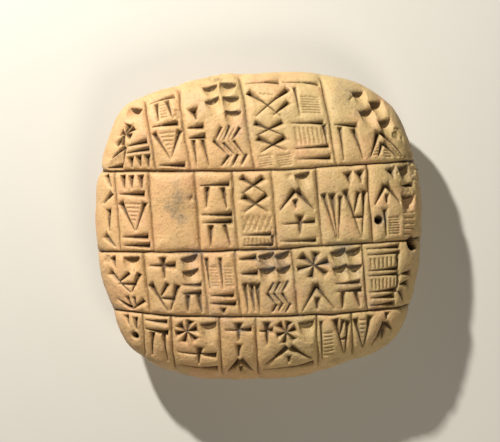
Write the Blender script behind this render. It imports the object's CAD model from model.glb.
import math

import bmesh
import bpy
import numpy as np
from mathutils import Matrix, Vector


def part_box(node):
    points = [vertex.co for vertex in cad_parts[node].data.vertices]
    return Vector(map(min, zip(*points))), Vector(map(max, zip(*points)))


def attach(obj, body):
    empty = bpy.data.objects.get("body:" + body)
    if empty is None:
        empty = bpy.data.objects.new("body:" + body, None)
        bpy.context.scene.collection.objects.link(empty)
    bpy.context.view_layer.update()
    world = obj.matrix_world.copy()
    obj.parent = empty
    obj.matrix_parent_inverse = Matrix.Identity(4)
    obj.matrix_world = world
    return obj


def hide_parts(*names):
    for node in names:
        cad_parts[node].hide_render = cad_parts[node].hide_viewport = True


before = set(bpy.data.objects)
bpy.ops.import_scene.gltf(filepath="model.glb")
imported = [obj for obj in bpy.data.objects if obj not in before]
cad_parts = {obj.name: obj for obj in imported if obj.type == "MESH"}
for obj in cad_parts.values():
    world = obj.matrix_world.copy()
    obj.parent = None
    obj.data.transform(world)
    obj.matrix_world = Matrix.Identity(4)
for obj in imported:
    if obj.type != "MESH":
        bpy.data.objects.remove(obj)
frameLow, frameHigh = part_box("tablet")
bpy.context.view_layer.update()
mm = 0.001

clay = {
    "width": 85,  # across the writing, before the swells
    "height": 79.2,  # up the writing
    "faceRise": 11,  # from the widest line to the top of the written face
    "backRise": 13,  # and to the lowest point of the back
    "restingDip": 0.35,  # what the resting flat takes off that point
    "outlineFullness": 3,  # 2 is an ellipse, more is squarer
    "faceFullness": 4.6,
    "backFullness": 3.2,
    "handWaves": 0.28,  # height of the shallow waves left by the hands
    "waveTurns": (1.3, 1.1, 2.1),  # how often they turn: across, up, and where they run aslant
    "waveShifts": (0.8, -0.4),
    "aslantWaves": 0.6,  # beside the height of the others
    "swells": [  # bearing and spread in degrees, height
        *((136, 10, 2.0), (137, 25, -1.4), (-154, 11, -1.4), (-88, 12, 0.4)),
        *((-60, 11, -1.4), (-24, 16, -1.5), (28, 7, -0.6), (98, 6, 0.5)),
    ],
    "cells": (21, 20, 2),  # of the first box, across, up and through
    "finer": 5,  # how often each cell is halved
    "boxRise": 5.5,  # half the height of the box that is blown out to the skin
    "longestRay": 4.0,  # how many times as far out a point of the box can be carried
    "skinHalvings": 34,  # of the search for the skin
    "edgeHalvings": 40,  # and of the search for the edge of the writing
    "thinning": 0.092,  # share of the triangles that are kept
    "grain": [(0.14, 4.2, 3), (0.08, 1.7, 1), (0.035, 0.6, 2)],  # height, size and seed
    "chips": [  # place, radius and depth
        *((-8.6, 38.6, 1.3, 0.6), (39.4, 12.6, 2.8, 0.4), (40.3, 16.2, 1.7, 0.4), (38.6, 7.6, 1.6, 0.3)),
        *((-16.9, 8.0, 0.7, 0.5), (-19.2, 29.2, 1.1, 0.6), (-39.9, -6.5, 1.2, 0.4), (-14.2, 26.4, 0.9, 0.4)),
        *((36.2, 21.4, 1.1, 0.5), (17.6, -36.4, 1.4, 0.4), (-31.5, 27.6, 0.8, 0.3), (8.2, 12.4, 0.6, 0.3)),
    ],
    "scratches": [((-17.5, 7.2), (-16.4, 8.9)), ((24.6, 31.0), (27.4, 33.6))],
}

press = {
    "rulingWidth": 0.95,
    "rulingDepth": 0.78,
    "wedgeWidth": 2.0,
    "wedgeSlope": 1.7,  # of the side walls of a wedge
    "wedgeBack": 2.4,  # and of the wall behind its head
    "headLength": 4.2,
    "headShare": 0.8,  # the most of a stroke that its head takes up
    "tailWidths": (0.75, 0.35),  # where the head runs out, and at the far end
    "numberRadius": 2.1,
    "numberDepth": 1.55,  # at the foot of its wall
    "numberWallSlope": 1.25,
    "numberRampSlope": 0.45,
    "numberSideSlope": 3,
    "numberPlace": (0.5, 0.12),  # in its part of a case
    "dotPlace": (0.5, 0.4),
    "groupArea": (0.03, 0.04, 0.97, 0.96),  # what a group of wedges takes of its part
    "dotRadius": 1.1,
    "dotDepth": 1.9,
    "holeRadius": 2.0,
    "holeMouth": 0.3,  # depth of the softened part
    "holeDepth": 5.5,  # of the straight part below it
    "holePlace": (0.93, -0.165),  # shares of the half width and half height
    "holeWall": 1.6,  # how steeply its straight part begins
    "holeDirt": 4,
    "pitFullness": 4,  # of dots and of the hole: more is squarer at the floor
    "pitWallSlope": 4,
    "tickWidth": 0.5,
    "tickDepth": 0.36,
    "edgeMargin": 1.2,
    "caseMargin": 0.6,
    "endShare": 0.8,  # of the half width, where the outermost cases are measured
    "handJitter": 0.07,
    "sizeJitter": 0.3,
    "roundJitter": 0.5,  # of a round mark's size, beside a wedge's
    "turnJitter": 0.5,
    "turnBias": 0.3,
    "rounding": 0.04,  # softness of the rims and floors of the marks
    "joining": 4,  # how strictly the deeper of two marks wins
    "wedgeFelt": 2.5,  # how far off a mark the clay is still moved by it
    "tickFelt": 1.5,
    "numberFelt": 1,
    "pitFelt": 2.5,
    "lineFelt": 6,
    "sag": 0.34,  # how far the clay beside a mark is drawn down
    "sagReach": 0.75,
    "slump": 0.42,  # and how far a whole case sinks towards its rulings
    "slumpReach": 1.5,
    "sideFade": (4, 0.6),  # how fast the marks end round the edge, and what is left of them at it
    "wander": [(0.22, 6, 5), (0.1, 2, 7)],  # of ruled lines: distance, size and seed
    "wear": (0.35, 5, 6),  # of their width and depth: share, size and seed
    "dividerSize": 0.8,  # beside a ruling's
    "dividerTaper": (1.1, 0.3),  # its size at the top, and what it loses by the foot
    "dirtReach": 0.34,  # how far the dirt in a ruled line reaches to each side
    "dividerDirt": 0.65,  # beside that of a ruling
    "dirtyDepth": 0.4,  # from here down the dirt lies thick
    "mostDirt": 2,
    "wedgeDirt": (0.2, 0.42),  # how wide it lies in the thinnest stroke, and more for each mm of width
    "footDirt": 0.4,  # at the foot of a number's wall
    "footDirtReach": 0.25,
    "tickDirt": 0.5,
    "tickFade": 0.8,
    "lip": 0.07,  # height of the clay pushed up around a mark
    "lipAway": 0.45,  # how far off the rim it stands
    "lipSpread": 0.25,
    "lipWear": 0.3,  # depth of the clay around it at which little of it is left
}

registerLines = [(0.356, -0.018, 0.041), (-0.154, -0.008, 0.027), (-0.59, -0.034, 0.059)]
backLines = [(0.42, 0.02, 0.03), (-0.06, 0.01, 0.02)]

halfWidth = clay["width"] / 2
halfHeight = clay["height"] / 2


def outlineRadius(bearing):
    fullness = clay["outlineFullness"]
    across = np.abs(np.cos(bearing)) / halfWidth
    up = np.abs(np.sin(bearing)) / halfHeight
    radius = (across**fullness + up**fullness) ** (-1 / fullness)
    for swellBearing, spread, height in clay["swells"]:
        away = (np.degrees(bearing) - swellBearing + 540) % 360 - 180
        radius = radius + height * np.exp(-((away / spread) ** 2))
    return radius


def waves(x, y):
    across = x / halfWidth * math.pi
    up = y / halfHeight * math.pi
    turnsAcross, turnsUp, turnsAslant = clay["waveTurns"]
    shiftAcross, shiftUp = clay["waveShifts"]
    broad = np.sin(turnsAcross * across + shiftAcross) * np.cos(turnsUp * up + shiftUp)
    return clay["handWaves"] * (broad + clay["aslantWaves"] * np.sin(turnsAslant * up + across))


def skinHeight(x, y, isFace):
    # height over the widest line, for the written face or the back
    reach = np.hypot(x, y) / outlineRadius(np.arctan2(y, x))
    fullness = np.where(isFace, clay["faceFullness"], clay["backFullness"])
    rise = np.where(isFace, clay["faceRise"], clay["backRise"]) + waves(x, y)
    return rise * np.sqrt(np.maximum(0, 1 - reach**fullness))


def skinPoint(x, y, isFace):
    return np.array([x, y, skinHeight(x, y, isFace) * (1 if isFace else -1)])


def skinNormal(x, y, isFace):
    step = 0.05
    dx = (skinHeight(x + step, y, isFace) - skinHeight(x - step, y, isFace)) / (2 * step)
    dy = (skinHeight(x, y + step, isFace) - skinHeight(x, y - step, isFace)) / (2 * step)
    return unit(np.array([-dx, -dy, 1 if isFace else -1]))


def unit(vector):
    return vector / np.linalg.norm(vector)


def farthest(holds, limit):
    # the farthest value below a limit at which a test still holds
    near, far = 0.0, limit
    for _ in range(clay["edgeHalvings"]):
        middle = (near + far) / 2
        near, far = (middle, far) if holds(middle) else (near, middle)
    return near


# The writing: groups of made-up wedges, shared out over the cases.
marks = []
unevenState = [2027]  # the seed
unevenFactor = 16807
unevenRange = 2147483647


def uneven():
    # the next of a fixed row of values from 0 to 1
    unevenState[0] = unevenState[0] * unevenFactor % unevenRange
    return unevenState[0] / unevenRange


def part(place, u0, v0, u1, v1):
    # a smaller area of one whose places go from 0 to 1, from the upper left
    return lambda u, v: place(u0 + (u1 - u0) * u, v0 + (v1 - v0) * v)


def addWedge(place, u0, v0, u1, v1, size=1):
    def unsteady():
        return (uneven() - 0.5) * press["handJitter"]

    head = place(u0 + unsteady(), v0 + unsteady())
    tail = place(u1 + unsteady(), v1 + unsteady())
    size = size * (1 + (uneven() - 0.5) * press["sizeJitter"])
    marks.append({"kind": "wedge", "head": head, "tail": tail, "size": size})


def addRound(kind, place, u, v):
    turn = (uneven() - press["turnBias"]) * press["turnJitter"]
    size = 1 + (uneven() - 0.5) * press["sizeJitter"] * press["roundJitter"]
    marks.append({"kind": kind, "head": place(u, v), "turn": turn, "size": size})


def addTick(place, u0, v0, u1, v1):
    marks.append({"kind": "tick", "head": place(u0, v0), "tail": place(u1, v1), "size": 1})


def steps(count, start, end):
    return [start + (end - start) * i / (count - 1) for i in range(count)]


burst = {"rays": 6, "start": 0.04, "spread": 5 / 6, "reach": 0.48, "upperSize": 1.3}


def ray(turn):
    # a stroke of the burst, from its rim to its middle
    bearing = 2 * math.pi * turn
    size = burst["upperSize"] if turn < 0.5 else 1
    u, v = 0.5 + burst["reach"] * math.cos(bearing), 0.5 - burst["reach"] * math.sin(bearing)
    return (u, v, 0.5, 0.5, size)


# A stroke is the place of its head, that of its tail and, where it isn't 1, its size.
gable = [(0.5, 0.06, 0.04, 0.95, 1.1), (0.52, 0.06, 0.96, 0.95, 1.1)]
groups = {
    "blank": [],
    "bar": [(0.98, 0.5, 0.02, 0.5)],
    "bars": [(0.98, v, 0.02, v + 0.03) for v in steps(2, 0.2, 0.78)],
    "post": [(0.5, 0.05, 0.5, 0.97)],
    "posts": [(u, 0.05, u + 0.02, 0.95) for u in steps(3, 0.2, 0.84)],
    "spike": [(0.45, 0.15, 0.6, 0.9, 1.45)],
    "slant": [(0.1, 0.1, 0.9, 0.85)],
    "backSlant": [(0.9, 0.15, 0.1, 0.85)],
    "slants": [(0.04, 0.12, 0.7, 0.97, 1.1), (0.96, 0.06, 0.12, 0.95, 1.1), (0.92, 0.5, 0.55, 0.97, 0.8)],
    "ladder": [(0.08, 0.05, 0.1, 0.97, 0.7)],
    "table": [(0.98, 0.1, 0.02, 0.14, 1.1), (0.28, 0.16, 0.2, 0.95, 0.85), (0.75, 0.16, 0.86, 0.95, 0.85)],
    "comb": [(0.98, 0.1, 0.02, 0.12), (0.3, 0.2, 0.3, 0.95, 0.8), (0.7, 0.2, 0.74, 0.95, 0.8)],
    "cross": [(0.96, 0.42, 0.04, 0.46), (0.55, 0.06, 0.52, 0.95, 1.1)],
    "burst": [ray(turn) for turn in steps(burst["rays"], burst["start"], burst["start"] + burst["spread"])],
    "gable": gable + [(0.5, 0.5, 0.5, 0.9, 0.8)],
    "doubleGable": gable + [(0.5, 0.42, 0.26, 0.92, 0.8), (0.52, 0.42, 0.75, 0.92, 0.8)],
    "vee": [(0.04, 0.05, 0.5, 0.95, 0.9), (0.96, 0.05, 0.54, 0.95, 0.9)],
    "lattice": [(0.12, v, 0.88, v + 0.44) for v in steps(2, 0.06, 0.56)]
    + [(0.88, v, 0.12, v + 0.44) for v in steps(2, 0.06, 0.56)],
    "chevron": [(u, 0.03, u - 0.24, 0.36, 0.5) for u in steps(3, 0.4, 0.88)]
    + [(u, 0.37, u + 0.24, 0.7, 0.5) for u in steps(3, 0.14, 0.62)]
    + [(u, 0.7, u - 0.2, 0.98, 0.5) for u in steps(3, 0.44, 0.92)],
    "zigzag": [
        (0.06, 0.05, 0.55, 0.95),
        (0.62, 0.05, 0.3, 0.5, 0.8),
        (0.94, 0.05, 0.6, 0.95, 0.9),
        (0.8, 0.55, 0.25, 0.58, 0.7),
    ],
    "frame": [(0.97, 0.08, 0.03, 0.1, 0.9), (0.97, 0.9, 0.03, 0.92, 0.9), (0.94, 0.12, 0.94, 0.9, 0.7)],
    "boat": [
        (0.5, 0.92, 0.03, 0.35, 0.9),
        (0.97, 0.3, 0.5, 0.92, 0.9),
        (0.4, 0.1, 0.42, 0.75, 0.6),
        (0.62, 0.1, 0.62, 0.75, 0.6),
    ],
    "fan": [(0.1, 0.05, 0.5, 0.96), (0.5, 0.05, 0.52, 0.96), (0.9, 0.1, 0.58, 0.96, 0.8)],
}

# Fine hatching that goes with a group, too shallow for the solid.
hatching = {
    "chevron": [(u, 0.03, u - 0.24, 0.34) for u in steps(2, 0.52, 0.76)]
    + [(u, 0.37, u + 0.24, 0.68) for u in steps(2, 0.26, 0.5)]
    + [(u, 0.7, u - 0.2, 0.96) for u in steps(2, 0.56, 0.8)],
    "slants": [(u, 0.14 + 0.2 * u, u + 0.12, 0.2 + 0.2 * u) for u in steps(3, 0.3, 0.5)],
    "rungs": [(0.1, v, 0.9, v + 0.02) for v in steps(5, 0.12, 0.9)],
    "ladder": [(0.24, v, 0.9, v + 0.01) for v in steps(7, 0.34, 0.86)],
    "comb": [(0.38, v, 0.64, v) for v in steps(5, 0.36, 0.86)],
    "vee": [(0.16 + 0.42 * v, v, 0.84 - 0.42 * v, v + 0.02) for v in steps(6, 0.12, 0.76)],
    "weave": [(u, 0.1, u + 0.2, 0.85) for u in steps(5, 0.08, 0.78)]
    + [(u + 0.2, 0.15, u, 0.9) for u in steps(5, 0.08, 0.78)],
    "frame": [(u, 0.25, u + 0.01, 0.8) for u in steps(7, 0.12, 0.84)],
    "doubleGable": [(0.5 - 0.44 * v, v, 0.58 - 0.32 * v, v - 0.03) for v in steps(7, 0.3, 0.86)]
    + [(0.44 + 0.32 * v, v - 0.05, 0.52 + 0.42 * v, v) for v in steps(7, 0.3, 0.86)]
    + [(0.42, v, 0.6, v) for v in steps(3, 0.7, 0.9)],
    "hatch": [(0.1, v, 0.9, v - 0.12) for v in steps(5, 0.2, 0.95)],
}


# What a case holds: weights and contents in turn, one over or beside the other.
def over(*shares):
    return ("over", shares)


def beside(*shares):
    return ("beside", shares)


def write(place, contents):
    if contents == "number":
        addRound("number", place, *press["numberPlace"])
    elif contents == "dot":
        addRound("dot", place, *press["dotPlace"])
    elif isinstance(contents, str):
        inner = part(place, *press["groupArea"])
        for stroke in groups.get(contents, []):
            addWedge(inner, *stroke)
        for stroke in hatching.get(contents, []):
            addTick(inner, *stroke)
    else:
        direction, shares = contents
        weights = shares[::2]
        start = 0
        for weight, inside in zip(weights, shares[1::2]):
            end = start + weight / sum(weights)
            area = (0, start, 1, end) if direction == "over" else (start, 0, end, 1)
            write(part(place, *area), inside)
            start = end


twoNumbers = beside(1, "number", 1, "number")
fourNumbers = over(1, twoNumbers, 1, twoNumbers)
table = over(1, "bar", 3, "table")

registers = [
    {
        "lean": 0.03,
        "dividers": [-0.633, -0.424, -0.04, 0.45],
        "cases": [
            over(
                *(2, beside(2, "blank", 3, "number")),
                *(4, beside(4, "burst", 2, "blank")),
                *(5, beside(2, "frame", 3, over(1, "bars", 1, "posts"))),
            ),
            over(4, "comb", 1, "bar", 5, "vee", 1, "bar"),
            beside(
                *(2, over(2, "blank", 2, "spike", 1, "bar", 4, "table")),
                *(4, over(2, twoNumbers, 2, twoNumbers, 2, beside(1, "blank", 1, "number"), 6, "chevron")),
            ),
            over(
                *(1, beside(1, "bar", 1, "bar")),
                *(5, beside(3, "slants", 2, "ladder")),
                *(5, beside(2, "lattice", 2, "frame")),
                *(2, beside(1, "hatch", 1, "hatch", 2, "bar")),
            ),
            over(
                *(2, beside(2, "blank", 3, twoNumbers)),
                *(2, beside(3, "blank", 4, twoNumbers)),
                *(5, beside(2, "table", 3, "doubleGable")),
            ),
        ],
    },
    {
        "lean": 0.008,
        "dividers": [-0.86, -0.647, -0.367, -0.14, 0.097, 0.363, 0.673],
        "cases": [
            over(2, "slant", 2, "backSlant", 3, "post", 2, "slant"),
            over(2, "posts", 1, "bar", 4, "vee", 2, "bars"),
            "blank",
            over(1, "blank", 4, "table", 1, "bar", 4, "table"),
            over(6, "lattice", 3, "weave", 2, "frame"),
            over(2, beside(2, "blank", 3, "number"), 3, "gable", 3, "cross", 1, "bar"),
            over(2, beside(2, "blank", 1, "spike", 1, "spike"), 6, beside(1, "fan", 1, "zigzag")),
            beside(
                *(2, over(2, beside(1, "blank", 1, "spike"), 3, "gable", 4, beside(1, "dot", 2, "ladder"))),
                *(1, over(1, "number", 1, "bar", 1, "number", 2, "rungs")),
            ),
        ],
    },
    {
        "lean": 0.01,
        "dividers": [-0.7, -0.341, -0.145, 0.194, 0.618],
        "cases": [
            over(2, beside(1, "spike", 1, "number"), 3, "zigzag", 2, "boat"),
            over(4, beside(3, "cross", 2, over(1, "number", 1, "number")), 5, beside(3, "zigzag", 2, table)),
            over(5, beside(1, "ladder", 1, "ladder"), 2, "bars", 1, "post"),
            over(4, beside(2, "bars", 3, fourNumbers), 5, beside(2, "posts", 3, "chevron")),
            beside(5, over(5, "burst", 5, "gable"), 4, over(4, fourNumbers, 4, table)),
            beside(
                *(3, over(1, "bar", 3, "frame", 3, "frame", 2, "bars")),
                *(1, over(3, "blank", 2, "bars", 2, "slant")),
            ),
        ],
    },
    {
        "lean": 0,
        "dividers": [-0.739, -0.559, -0.268, -0.05, 0.315, 0.528],
        "cases": [
            over(1, beside(1, "post", 1, "post"), 1, "dot"),
            over(1, "bar", 4, "table"),
            over(4, beside(3, "burst", 2, "number"), 3, "cross", 1, "bar"),
            over(3, "cross", 2, "post", 2, "gable"),
            over(4, beside(2, "cross", 3, "burst", 2, "number"), 3, "gable", 1, "bar"),
            beside(1, "ladder", 1, "zigzag"),
            beside(1, "vee", 2, over(1, "post", 2, "gable")),
        ],
    },
]

backRegister = {
    "lean": 0,
    "dividers": [-0.45, 0.02, 0.5],
    "cases": [
        over(1, twoNumbers, 2, "table"),
        over(1, "bar", 2, beside(1, "posts", 1, "gable")),
        beside(1, "cross", 1, over(1, "number", 1, "bars")),
        "blank",
    ],
}


def lineLevel(line, x):
    # how high a ruling runs, from its level in the middle, its slope and its bow
    level, slope, bow = line
    share = x / halfWidth
    return halfHeight * (level + slope * share + bow * share * share)


def isWithinMargin(x, y):
    return np.hypot(x, y) < outlineRadius(np.arctan2(y, x)) - press["edgeMargin"]


def topEdge(x):
    return farthest(lambda y: isWithinMargin(x, y), clay["height"])


def bottomEdge(x):
    return -farthest(lambda y: isWithinMargin(x, -y), clay["height"])


def rightEdge(y):
    return farthest(lambda x: isWithinMargin(x, y), clay["width"])


def leftEdge(y):
    return -farthest(lambda x: isWithinMargin(-x, y), clay["width"])


def writeRegister(register, top, bottom):
    # writes one register between two lines, and returns its dividers
    dividers = register["dividers"]

    def dividerX(share, v):
        return halfWidth * (share + register["lean"] * (v - 0.5) * 2)

    def levelAt(x, v):
        return top(x) + (bottom(x) - top(x)) * v

    def edge(i, v):
        if i == 0:
            return leftEdge(levelAt(-halfWidth * press["endShare"], v))
        if i == len(dividers) + 1:
            return rightEdge(levelAt(halfWidth * press["endShare"], v))
        return dividerX(dividers[i - 1], v)

    for i, contents in enumerate(register["cases"]):

        def place(u, v, i=i):
            left = edge(i, v) + press["caseMargin"]
            right = edge(i + 1, v) - press["caseMargin"]
            x = left + (right - left) * u
            high = top(x) - press["caseMargin"]
            low = bottom(x) + press["caseMargin"]
            return (x, high + (low - high) * v)

        write(place, contents)
    routes = []
    for share in dividers:
        ends = [dividerX(share, v) for v in (0, 1)]
        routes.append([(ends[0], levelAt(ends[0], 0)), (ends[1], levelAt(ends[1], 1))])
    return routes


def writeSide(lines, rows):
    # the marks and the dividers of one side
    marks.clear()
    dividers = []
    for row, register in enumerate(rows):
        top = topEdge if row == 0 else lambda x, line=lines[row - 1]: lineLevel(line, x)
        bottom = bottomEdge if row == len(lines) else lambda x, line=lines[row]: lineLevel(line, x)
        dividers += writeRegister(register, top, bottom)
    return list(marks), dividers


noiseValues = 4096
cellMix = np.array([73856093, 19349663, 83492791])  # shares the values out over the cells


def cellNoise(points, size, seed):
    # smooth random values from -1 to 1 that change over a cell of that size
    table = np.random.default_rng(seed).random(noiseValues) * 2 - 1
    scaled = points / size
    cell = np.floor(scaled).astype(np.int64)
    blend = scaled - cell
    blend = blend * blend * (3 - 2 * blend)
    total = np.zeros(len(points))
    for corner in np.ndindex(2, 2, 2):
        weight = np.prod(np.where(corner, blend, 1 - blend), axis=1)
        total += weight * table[np.abs((cell + corner) @ cellMix) % noiseValues]
    return total


def fineBox():
    # a box of fine cells, as an object whose mesh still has to be blown out to the skin
    aligned = 1e-6
    bm = bmesh.new()
    bmesh.ops.create_cube(bm, size=2)
    for axis, cells in enumerate(clay["cells"]):
        along = [edge for edge in bm.edges if abs(edge.verts[0].co[axis] - edge.verts[1].co[axis]) > aligned]
        bmesh.ops.subdivide_edges(bm, edges=along, cuts=cells - 1, use_grid_fill=True)
    mesh = bpy.data.meshes.new("tabletBox")
    bm.to_mesh(mesh)
    bm.free()
    box = bpy.data.objects.new("tabletBox", mesh)
    bpy.context.collection.objects.link(box)
    finer = box.modifiers.new("finer", "SUBSURF")
    finer.subdivision_type = "SIMPLE"
    finer.levels = finer.render_levels = clay["finer"]
    return applied(box)


def applied(thing):
    # the object with its modifiers made final
    bpy.context.view_layer.update()
    graph = bpy.context.evaluated_depsgraph_get()
    mesh = bpy.data.meshes.new_from_object(thing.evaluated_get(graph), depsgraph=graph)
    old = thing.data
    thing.modifiers.clear()
    thing.data = mesh
    bpy.data.meshes.remove(old)
    return thing


def readPoints(mesh):
    values = np.empty(len(mesh.vertices) * 3)
    mesh.vertices.foreach_get("co", values)
    return values.reshape(-1, 3)


def readNormals(mesh):
    values = np.empty(len(mesh.vertices) * 3, dtype=np.float32)
    mesh.vertex_normals.foreach_get("vector", values)
    return values.reshape(-1, 3).astype(float)


def writePoints(mesh, points):
    mesh.vertices.foreach_set("co", points.ravel())
    mesh.update()


def blowOut(rays):
    # each ray from the middle of the clay is carried out to the skin
    isFace = rays[:, 2] >= 0
    near = np.zeros(len(rays))
    far = np.full(len(rays), clay["longestRay"])
    outline = outlineRadius(np.arctan2(rays[:, 1], rays[:, 0]))
    reach = np.hypot(rays[:, 0], rays[:, 1]) / outline
    fullness = np.where(isFace, clay["faceFullness"], clay["backFullness"])
    rise = np.where(isFace, clay["faceRise"], clay["backRise"])
    for _ in range(clay["skinHalvings"]):
        middle = (near + far) / 2
        height = rise + waves(rays[:, 0] * middle, rays[:, 1] * middle)
        skin = height * np.sqrt(np.maximum(0, 1 - (reach * middle) ** fullness))
        isInside = (reach * middle < 1) & (np.abs(rays[:, 2]) * middle < skin)
        near = np.where(isInside, middle, near)
        far = np.where(isInside, far, middle)
    return rays * near[:, None]


class Relief:
    # how deep the clay is pressed at every point of the skin, how far it is pushed up, and its dirt
    def __init__(self, points):
        self.points = points
        self.order = np.argsort(points[:, 0])
        self.across = points[self.order, 0]
        self.pits = np.zeros(len(points))
        self.slump = np.zeros(len(points))
        self.lips = np.zeros(len(points))
        self.dirt = np.zeros(len(points))

    def near(self, centre, radius):
        ends = np.searchsorted(self.across, (centre[0] - radius, centre[0] + radius))
        slab = self.order[ends[0] : ends[1]]
        return slab[(np.abs(self.points[slab] - centre) < radius).all(axis=1)]

    def press(self, found, raw, beside, dirt, fade=1):
        # raw is how far below the old skin a mark reaches, beside how far off its rim a point is,
        # and dirt how much of the ground-in dirt it holds
        soft = press["rounding"]
        beside = np.maximum(beside, 0)
        pit = (raw + np.sqrt(raw**2 + soft**2)) / 2 + press["sag"] * np.exp(-beside / press["sagReach"])
        self.pits[found] += (pit * fade) ** press["joining"]
        lip = press["lip"] * np.exp(-(((beside - press["lipAway"]) / press["lipSpread"]) ** 2)) * fade
        self.lips[found] = np.maximum(self.lips[found], lip)
        held = dirt * fade * np.clip(raw / press["dirtyDepth"], 0, 1)
        self.dirt[found] = np.maximum(self.dirt[found], held)

    def depths(self):
        return self.pits ** (1 / press["joining"]) + self.slump


def markFrame(relief, mark, isFace, reach):
    # a stroke's length, the points near it, and how far along and across it they are
    head = skinPoint(*mark["head"], isFace)
    tail = skinPoint(*mark["tail"], isFace)
    middle = [(a + b) / 2 for a, b in zip(mark["head"], mark["tail"])]
    out = skinNormal(*middle, isFace)
    forward = unit((tail - head) - out * ((tail - head) @ out))
    length = np.linalg.norm(tail - head)
    found = relief.near((head + tail) / 2, length / 2 + reach)
    away = relief.points[found] - head
    return length, found, away @ forward, np.abs(away @ np.cross(out, forward))


def pressWedge(relief, mark, isFace):
    length, found, s, t = markFrame(relief, mark, isFace, press["wedgeFelt"])
    size = mark["size"]
    headLength = min(press["headLength"] * size, length * press["headShare"])
    halfWidths = [press["wedgeWidth"] * size / 2, *(width / 2 for width in press["tailWidths"])]
    rim = np.interp(s, [0, headLength, length], halfWidths)
    side, behind, ahead = t - rim, -s, s - length
    raw = np.minimum(-press["wedgeBack"] * behind, -press["wedgeSlope"] * np.maximum(side, ahead))
    thinnest, more = press["wedgeDirt"]
    dirt = np.exp(-((t / (thinnest + more * rim)) ** 2))
    relief.press(found, raw, np.maximum(np.maximum(side, behind), ahead), dirt)


def pressTick(relief, mark, isFace):
    length, found, s, t = markFrame(relief, mark, isFace, press["tickFelt"])
    halfTick = press["tickWidth"] / 2
    reach = np.hypot(t, np.maximum(0, np.abs(s - length / 2) - length / 2 + halfTick))
    raw = press["tickDepth"] * (1 - reach / halfTick)
    relief.press(found, raw, reach - halfTick, press["tickDirt"], press["tickFade"])


def pressNumber(relief, mark, isFace):
    # the print of a round stick held aslant: a steep wall, and a ramp that runs down from it
    origin = skinPoint(*mark["head"], isFace)
    out = skinNormal(*mark["head"], isFace)
    down = np.array([math.sin(mark["turn"]), -math.cos(mark["turn"]), 0])
    forward = unit(down - out * (down @ out))
    radius = press["numberRadius"] * mark["size"]
    depth = press["numberDepth"] * mark["size"]
    wall, ramp = press["numberWallSlope"], press["numberRampSlope"]
    found = relief.near(origin, depth / wall + depth / ramp + press["numberFelt"])
    away = relief.points[found] - origin
    s, t = away @ forward, np.abs(away @ np.cross(out, forward))
    sag = radius - np.sqrt(np.maximum(0, radius**2 - t**2))
    sag = sag + press["numberSideSlope"] * np.maximum(0, t - radius)
    floor = depth * (1 + ramp / wall) - sag - s * ramp
    dirt = np.clip((floor - s * wall) / press["footDirtReach"] + press["footDirt"], 0, 1)
    relief.press(found, np.minimum(s * wall, floor), np.maximum(-s, -floor), dirt)


def pressPit(relief, place, radius, depth, isFace):
    # a round pit; returns its axis and the points near it with their share of its radius
    centre = skinPoint(*place, isFace)
    out = skinNormal(*place, isFace)
    found = relief.near(centre, radius + press["pitFelt"])
    away = relief.points[found] - centre
    reach = np.linalg.norm(away - np.outer(away @ out, out), axis=1) / radius
    floor = depth * (1 - reach ** press["pitFullness"])
    raw = np.maximum(floor, -press["pitWallSlope"] * (reach - 1) * radius)
    relief.press(found, raw, (reach - 1) * radius, 1)
    return out, found, reach


def drillHole(relief, place):
    # a deep straight hole: how far it carries each point, on top of a shallow pit at its mouth
    out, found, reach = pressPit(relief, place, press["holeRadius"], press["holeMouth"], True)
    share = np.clip(press["holeWall"] * (1 - reach ** press["pitFullness"]), 0, 1)
    relief.dirt[found] += press["holeDirt"] * share
    drilled = np.zeros_like(relief.points)
    drilled[found] = np.outer(press["holeDepth"] * share, out)
    return drilled


chipping = {
    "felt": 1.8,  # radii from its middle
    "cell": 0.9,  # size and seed of its raggedness
    "seed": 8,
    "raggedRim": 0.6,
    "raggedFloor": 0.3,
    "wall": 1.2,  # steepness
    "floor": 0.8,  # share of its depth at which its floor lies
    "dirt": 0.3,
    "fade": 0.9,
}


def pressChip(relief, chip, ragged):
    x, y, radius, depth = chip
    centre = skinPoint(x, y, True)
    found = relief.near(centre, radius * chipping["felt"])
    reach = np.linalg.norm(relief.points[found] - centre, axis=1) / radius
    reach = reach * (1 + chipping["raggedRim"] * ragged[found])
    floor = chipping["floor"] + chipping["raggedFloor"] * ragged[found]
    raw = depth * np.clip(chipping["wall"] * (1 - reach**2), -1, floor)
    relief.press(found, raw, (reach - 1) * radius, chipping["dirt"], chipping["fade"])


def pressLine(relief, offset, size, fade, dirtiness):
    # a ruled groove at a known distance from every point
    halfGroove = press["rulingWidth"] * size / 2
    found = np.flatnonzero(offset < press["lineFelt"])
    beside = (offset - halfGroove)[found]
    raw = press["rulingDepth"] * size * (1 - offset / halfGroove)
    dirt = dirtiness * np.exp(-((offset[found] / press["dirtReach"]) ** 2))
    relief.press(found, raw[found], beside, dirt, fade[found])
    slump = press["slump"] * np.exp(-np.maximum(beside, 0) / press["slumpReach"]) * fade[found]
    relief.slump[found] = np.maximum(relief.slump[found], slump)


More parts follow.
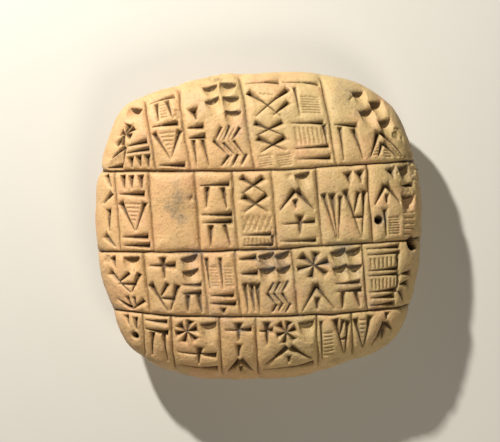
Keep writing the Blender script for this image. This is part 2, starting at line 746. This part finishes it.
def pressSide(relief, lines, rows, isFace):
    sideMarks, dividers = writeSide(lines, rows)
    x, y, z = relief.points.T
    rise = z / clay["faceRise"] if isFace else -z / clay["backRise"]
    fadeSlope, fadeLeft = press["sideFade"]
    fade = np.clip(rise * fadeSlope + fadeLeft, 0, 1)
    wander = sum(far * cellNoise(relief.points, size, seed) for far, size, seed in press["wander"])
    wearShare, wearSize, wearSeed = press["wear"]
    worn = 1 + wearShare * cellNoise(relief.points, wearSize, wearSeed)
    topSize, taper = press["dividerTaper"]
    for line in lines:
        pressLine(relief, np.abs(y - lineLevel(line, x) + wander), worn, fade, 1)
    for (x0, y0), (x1, y1) in dividers:
        down = np.clip((y0 - y) / (y0 - y1), 0, 1)
        beyond = np.maximum(0, np.maximum(y - y0, y1 - y))
        offset = np.hypot(x - (x0 + (x1 - x0) * down) + wander, beyond)
        size = press["dividerSize"] * worn * (topSize - taper * down)
        pressLine(relief, offset, size, fade, press["dividerDirt"])
    for mark in sideMarks:
        if mark["kind"] == "wedge":
            pressWedge(relief, mark, isFace)
        elif mark["kind"] == "tick":
            pressTick(relief, mark, isFace)
        elif mark["kind"] == "number":
            pressNumber(relief, mark, isFace)
        else:
            size = mark["size"]
            pressPit(relief, mark["head"], press["dotRadius"] * size, press["dotDepth"] * size, isFace)
    print("pressed", len(sideMarks), "marks and", len(dividers) + len(lines), "lines")


def makeTablet():
    tablet = fineBox()
    mesh = tablet.data
    rays = readPoints(mesh) * (halfWidth, halfHeight, clay["boxRise"])
    points = blowOut(rays)
    floorLevel = -clay["backRise"] + clay["restingDip"]
    print("skin of", len(points), "points")
    writePoints(mesh, points)
    normals = readNormals(mesh)

    relief = Relief(points)
    pressSide(relief, registerLines, registers, True)
    pressSide(relief, backLines, [backRegister], False)
    holeAt = (press["holePlace"][0] * halfWidth, press["holePlace"][1] * halfHeight)
    drilled = drillHole(relief, holeAt)
    ragged = cellNoise(points, chipping["cell"], chipping["seed"])
    for chip in clay["chips"]:
        pressChip(relief, chip, ragged)
    for head, tail in clay["scratches"]:
        pressTick(relief, {"head": head, "tail": tail}, True)

    depths = relief.depths()
    grain = sum(height * cellNoise(points, size, seed) for height, size, seed in clay["grain"])
    lift = relief.lips * np.exp(-depths / press["lipWear"]) + grain
    points = points + normals * (lift - depths)[:, None] - drilled
    points[:, 2] = np.maximum(points[:, 2], floorLevel)

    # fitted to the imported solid's box, from the floor up
    low, high = points.min(axis=0), points.max(axis=0)
    boxLow, boxHigh = np.array(frameLow), np.array(frameHigh)
    points = boxLow + (points - low) / (high - low) * (boxHigh - boxLow)
    writePoints(mesh, points)

    recess = mesh.attributes.new("recess", "FLOAT", "POINT")
    recess.data.foreach_set("value", np.clip(relief.dirt, 0, press["mostDirt"]))
    thinner = tablet.modifiers.new("thinner", "DECIMATE")
    thinner.ratio = clay["thinning"]
    applied(tablet)
    print("thinned to", len(tablet.data.polygons), "faces; recess kept:", "recess" in tablet.data.attributes)
    tablet.data.shade_smooth()
    tablet.name = "clayTablet"
    return tablet


class Wire:
    # a socket of the shader, so that values can be written as sums
    def __init__(self, tree, socket=None):
        self.tree = tree
        self.socket = socket

    def node(self, kind, settings, inputs, output=0):
        made = self.tree.nodes.new(kind)
        for name, value in settings.items():
            setattr(made, name, value)
        for name, value in inputs.items():
            if isinstance(value, Wire):
                self.tree.links.new(value.socket, made.inputs[name])
            else:
                made.inputs[name].default_value = value
        return Wire(self.tree, made.outputs[output])

    def maths(self, operation, first, second, clamp=False):
        settings = {"operation": operation, "use_clamp": clamp}
        return self.node("ShaderNodeMath", settings, {0: first, 1: second})

    def __add__(self, other):
        return self.maths("ADD", self, other)

    def __radd__(self, other):
        return self.maths("ADD", other, self)

    def __sub__(self, other):
        return self.maths("SUBTRACT", self, other)

    def __rsub__(self, other):
        return self.maths("SUBTRACT", other, self)

    def __mul__(self, other):
        return self.maths("MULTIPLY", self, other)

    def __rmul__(self, other):
        return self.maths("MULTIPLY", other, self)

    def clamped(self):
        return self.maths("ADD", self, 0.0, True)

    def noise(self, place, scale, detail, roughness):
        inputs = {"Vector": place, "Scale": scale, "Detail": detail, "Roughness": roughness}
        return self.node("ShaderNodeTexNoise", {}, inputs)

    def blend(self, factor, first, second):
        return self.node("ShaderNodeMix", {"data_type": "RGBA"}, {0: factor, 6: first, 7: second}, 2)


clayLook = {
    "warm": (0.60, 0.38, 0.18, 1),
    "olive": (0.52, 0.385, 0.18, 1),
    "pale": (0.74, 0.55, 0.32, 1),
    "pink": (0.64, 0.35, 0.2, 1),
    "dust": (0.33, 0.245, 0.115, 1),
    "recess": (0.055, 0.028, 0.009, 1),  # where dirt lies in a mark
    "depth": (0.01, 0.008, 0.006, 1),  # and down in the deep hole
    "soot": (0.095, 0.09, 0.088, 1),
    "speck": (0.2, 0.13, 0.07, 1),
    "noises": {  # scale, detail and roughness
        "broad": (45.0, 3.0, 0.55),
        "patch": (120.0, 5.0, 0.62),
        "middling": (260.0, 5.0, 0.62),
        "fine": (1500.0, 3.0, 0.55),
    },
    "noiseMean": 0.5,
    "acrossSlope": 22.0,  # how fast warm clay turns into olive, for each metre to the right
    "acrossRagged": 2.5,
    "acrossMiddle": 0.45,  # share of olive in the middle
    "mottles": [  # noise, the value where a patch begins, how fast and to which side, share and colour
        ("patch", 0.5, 5.0, 0.55, "pink"),
        ("patch", 0.47, -6.0, 0.4, "dust"),
        ("middling", 0.48, 4.0, 0.35, "pale"),
        ("middling", 0.42, -8.0, 0.35, "dust"),
        ("fine", 0.6, 8.0, 0.4, "speck"),
    ],
    "dirt": (1.2, 0.4, 0.92),  # how soon it covers the clay, how grainy it is, and the most of it
    "blackFrom": 1.0,  # more dirt than this is only in the deep hole, and turns it black
    "stainDepth": 2,  # of their middles below the highest point, in millimetres
    "stainRagged": 3.0,
    "sootCover": (0.6, 0.3),  # on open clay, and more where dirt lies
    "roughness": 0.58,
    "roughnessSwing": 0.2,
    "specular": 0.4,
    "bumpMix": (0.5, 0.5),  # of the middling and the fine noise
    "bumpStrength": 0.8,
    "bumpDistance": 0.0005,
    "stains": [  # place in millimetres, radius and strength
        *((-20.3, 7.8, 4.5, 0.8), (-20.4, 4.2, 3.4, 0.7), (24.3, 34.6, 6.5, 0.7), (0.2, -10.3, 3.2, 0.9)),
        *((-18.4, -6.8, 3.4, 0.8), (20.6, -8.6, 5, 0.8), (3.8, -8.7, 4.2, 0.8), (31, 1, 3, 0.7)),
        *((27.7, 28.8, 4, 0.5), (40.4, 12.5, 7, 0.7), (29.7, -32.5, 8, 0.5), (-3, 26, 5, 0.4)),
        *((-28.3, 20.5, 5, 0.3), (6.5, -31, 4, 0.35), (-6.3, 21.4, 4, 0.4), (-14, 31, 3, 0.4)),
        *((6, -14, 17, 0.4), (-18, -16, 12, 0.3), (27, -14, 12, 0.3), (16, 8, 8, 0.3), (-10, -24, 7, 0.3)),
    ],
}


def clayMaterial():
    material = bpy.data.materials.new("sunDriedClay")
    material.use_nodes = True
    tree = material.node_tree
    shader = tree.nodes["Principled BSDF"]
    start = Wire(tree)
    place = start.node("ShaderNodeTexCoord", {}, {}, "Object")
    recess = start.node("ShaderNodeAttribute", {"attribute_name": "recess"}, {}, "Fac")
    noises = {name: start.noise(place, *values) for name, values in clayLook["noises"].items()}
    broad, middling, fine = (noises[name] - clayLook["noiseMean"] for name in ("broad", "middling", "fine"))
    across = start.node("ShaderNodeSeparateXYZ", {}, {"Vector": place}, "X")

    def stain(x, y, radius, strength):
        centre = (x * mm, y * mm, frameHigh.z - clayLook["stainDepth"] * mm)
        away = start.node("ShaderNodeVectorMath", {"operation": "DISTANCE"}, {0: place, 1: centre}, "Value")
        patchy = 1.0 - away * (1 / (radius * mm)) + middling * clayLook["stainRagged"] + fine
        return patchy.clamped() * strength

    side = across * clayLook["acrossSlope"] + broad * clayLook["acrossRagged"] + clayLook["acrossMiddle"]
    colour = start.blend(side.clamped(), clayLook["warm"], clayLook["olive"])
    for name, threshold, steepness, share, tint in clayLook["mottles"]:
        cover = ((noises[name] - threshold) * steepness).clamped() * share
        colour = start.blend(cover, colour, clayLook[tint])
    dirtGain, dirtGrain, mostDirt = clayLook["dirt"]
    dirt = (recess * dirtGain + fine * dirtGrain).clamped() * mostDirt
    colour = start.blend(dirt, colour, clayLook["recess"])
    openCover, dirtyCover = clayLook["sootCover"]
    soot = sum(stain(*values) for values in clayLook["stains"]).clamped()
    colour = start.blend(soot * (openCover + recess * dirtyCover).clamped(), colour, clayLook["soot"])
    colour = start.blend((recess - clayLook["blackFrom"]).clamped(), colour, clayLook["depth"])
    tree.links.new(colour.socket, shader.inputs["Base Color"])
    rough = clayLook["roughness"] + middling * clayLook["roughnessSwing"]
    tree.links.new(rough.socket, shader.inputs["Roughness"])
    middlingBump, fineBump = clayLook["bumpMix"]
    bump = {
        "Strength": clayLook["bumpStrength"],
        "Distance": clayLook["bumpDistance"],
        "Height": middlingBump * noises["middling"] + fineBump * noises["fine"],
    }
    tree.links.new(start.node("ShaderNodeBump", {}, bump).socket, shader.inputs["Normal"])
    shader.inputs["Specular IOR Level"].default_value = clayLook["specular"]
    print("mixed the clay from", len(tree.nodes), "nodes")
    return material


tablet = makeTablet()
tablet.data.materials.clear()
tablet.data.materials.append(clayMaterial())
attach(tablet, "root")
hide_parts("tablet")

studio = {
    "turn": 0.049,  # how far the tablet is turned in the view, in radians
    "reach": 0.45,  # from the camera to the tablet's widest line, in metres
    "lens": 124.56,
    "aim": (-0.00233, 0.00132, 0.0126),  # where the middle of the view falls
    "keyFrom": (-0.18, 0.31, 0.255),
    "keyPower": 3.2,
    "keySize": 0.02,
    "keyColour": (1, 0.94, 0.84),
    "fillFrom": (0.14, -0.30, 0.40),
    "fillPower": 1.0,
    "fillSize": 0.2,
    "fillColour": (1, 0.88, 0.7),
    "room": 0.012,  # strength of the light from all round
    "roomColour": (1, 0.97, 0.93, 1),
    "floorSize": 3,
    "floorColour": (0.62, 0.62, 0.6, 1),
    "floorRoughness": 0.9,
    "nearest": 0.01,  # where the camera begins to see
}


def makeFloor():
    bm = bmesh.new()
    bmesh.ops.create_grid(bm, x_segments=1, y_segments=1, size=studio["floorSize"])
    mesh = bpy.data.meshes.new("floor")
    bm.to_mesh(mesh)
    bm.free()
    floor = bpy.data.objects.new("floor", mesh)
    bpy.context.collection.objects.link(floor)
    paint = bpy.data.materials.new("floorPaint")
    paint.use_nodes = True
    coat = paint.node_tree.nodes["Principled BSDF"]
    coat.inputs["Base Color"].default_value = studio["floorColour"]
    coat.inputs["Roughness"].default_value = studio["floorRoughness"]
    floor.data.materials.append(paint)


def makeLight(name):
    # a square lamp that shines on the middle of the floor
    lamp = bpy.data.lights.new(name, "AREA")
    lamp.energy = studio[name + "Power"]
    lamp.size = studio[name + "Size"]
    lamp.color = studio[name + "Colour"]
    light = bpy.data.objects.new(name, lamp)
    bpy.context.collection.objects.link(light)
    light.location = studio[name + "From"]
    light.rotation_euler = Vector(studio[name + "From"]).to_track_quat("Z", "Y").to_euler()


def makeStudio():
    makeFloor()
    makeLight("key")
    makeLight("fill")
    world = bpy.data.worlds.new("softRoom")
    bpy.context.scene.world = world
    world.use_nodes = True
    light = world.node_tree.nodes["Background"]
    light.inputs["Color"].default_value = studio["roomColour"]
    light.inputs["Strength"].default_value = studio["room"]
    camera = bpy.data.objects.new("camera", bpy.data.cameras.new("camera"))
    bpy.context.collection.objects.link(camera)
    camera.data.lens = studio["lens"]
    camera.data.clip_start = studio["nearest"]
    camera.location = Vector(studio["aim"]) + Vector((0, 0, studio["reach"]))
    camera.rotation_euler = (0, 0, -studio["turn"])
    bpy.context.scene.camera = camera
    bpy.context.scene.view_settings.view_transform = "Standard"
    print("lit the studio")


makeStudio()
